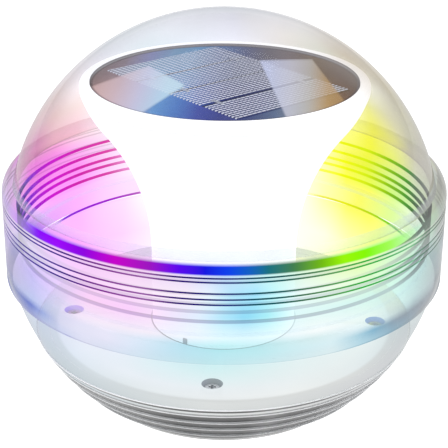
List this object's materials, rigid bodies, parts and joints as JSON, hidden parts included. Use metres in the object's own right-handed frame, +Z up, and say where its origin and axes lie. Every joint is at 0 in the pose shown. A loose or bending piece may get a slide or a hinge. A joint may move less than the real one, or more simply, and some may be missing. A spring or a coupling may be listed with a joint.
{
  "type": "floating pool light",
  "caption": "Lit floating ball with a clear dome, a grooved twist collar, a frosted bowl, a ridged foot and a white column that carries a round solar panel.",
  "frame": {"origin": "centre of the foot's underside", "axes": "+Z up through the middle of the solar panel, -Y towards the front screw well, the mode button on -X"},
  "size_m": [0.15, 0.15, 0.1333],
  "materials": {
    "clear_dome": "clear moulded polycarbonate, polished",
    "clear_collar": "clear moulded polycarbonate, thick wall",
    "frosted_bowl": "lightly frosted moulded polycarbonate",
    "grey_base": "moulded ABS, fine satin",
    "white_column": "translucent white moulded ABS",
    "silicone": "moulded silicone",
    "steel_screw": "bright stainless",
    "ballast_steel": "zinc plated",
    "panel_backing": "dark laminate board",
    "silicon_cell": "blue coated silicon with printed fingers",
    "tinned_ribbon": "tinned copper",
    "clear_resin": "poured clear resin",
    "lead_jacket": "flexible jacket",
    "circuit_board": "green solder mask",
    "lamp_body": "white lamp package",
    "battery_holder": "moulded ABS",
    "cell_wrap": "shrink sleeve",
    "contact_metal": "nickel plated spring bronze",
    "grey_cap": "moulded ABS, fine satin",
    "chip_black": "moulded epoxy",
    "ferrite": "ferrite and enamelled wire",
    "capacitor_sleeve": "printed sleeve, no text"
  },
  "bodies": {
    "hull": {"lower_bowl": "frosted_bowl", "ridged_base": "grey_base", "trumpet_reflector": "white_column", "panel_bezel": "white_column", "hull_seal": "silicone", "base_seal": "silicone", "button_seal": "silicone", "base_screws": "steel_screw", "column_screws": "steel_screw", "board_screws": "steel_screw", "ballast_ring": "ballast_steel", "panel_board": "panel_backing", "solar_cell_1": "silicon_cell", "solar_cell_2": "silicon_cell", "solar_cell_3": "silicon_cell", "solar_cell_4": "silicon_cell", "cell_ribbons": "tinned_ribbon", "panel_cover": "clear_resin", "panel_lead": "lead_jacket", "lamp_lead": "lead_jacket", "lamp_board": "circuit_board", "control_board": "circuit_board", "colour_lamps": "lamp_body", "battery_tube": "battery_holder", "battery_cell": "cell_wrap", "top_contact": "contact_metal", "driver_chip": "chip_black", "tact_switch": "chip_black", "power_coil": "ferrite", "storage_capacitor": "capacitor_sleeve"},
    "dome": {"dome_lens": "clear_dome", "dome_seal": "silicone", "collar_ring": "clear_collar"},
    "door": {"battery_door": "grey_cap", "door_seal": "silicone", "door_contact": "contact_metal"},
    "button": {"mode_button": "grey_cap"}
  },
  "joints": [
    {"name": "collar_turn", "type": "hinge", "parent": "hull", "child": "dome", "pos_m": [0, 0, 0.047], "axis": [0, 0, 1], "range_deg": [0, 30]},
    {"name": "door_turn", "type": "hinge", "parent": "hull", "child": "door", "pos_m": [0, 0, 0], "axis": [0, 0, 1], "range_deg": [0, 45]},
    {"name": "button_press", "type": "slide", "parent": "hull", "child": "button", "axis": [0, 0, 1], "range_m": [0, 0.0008], "stiffness_N_per_m": 1500}
  ]
}
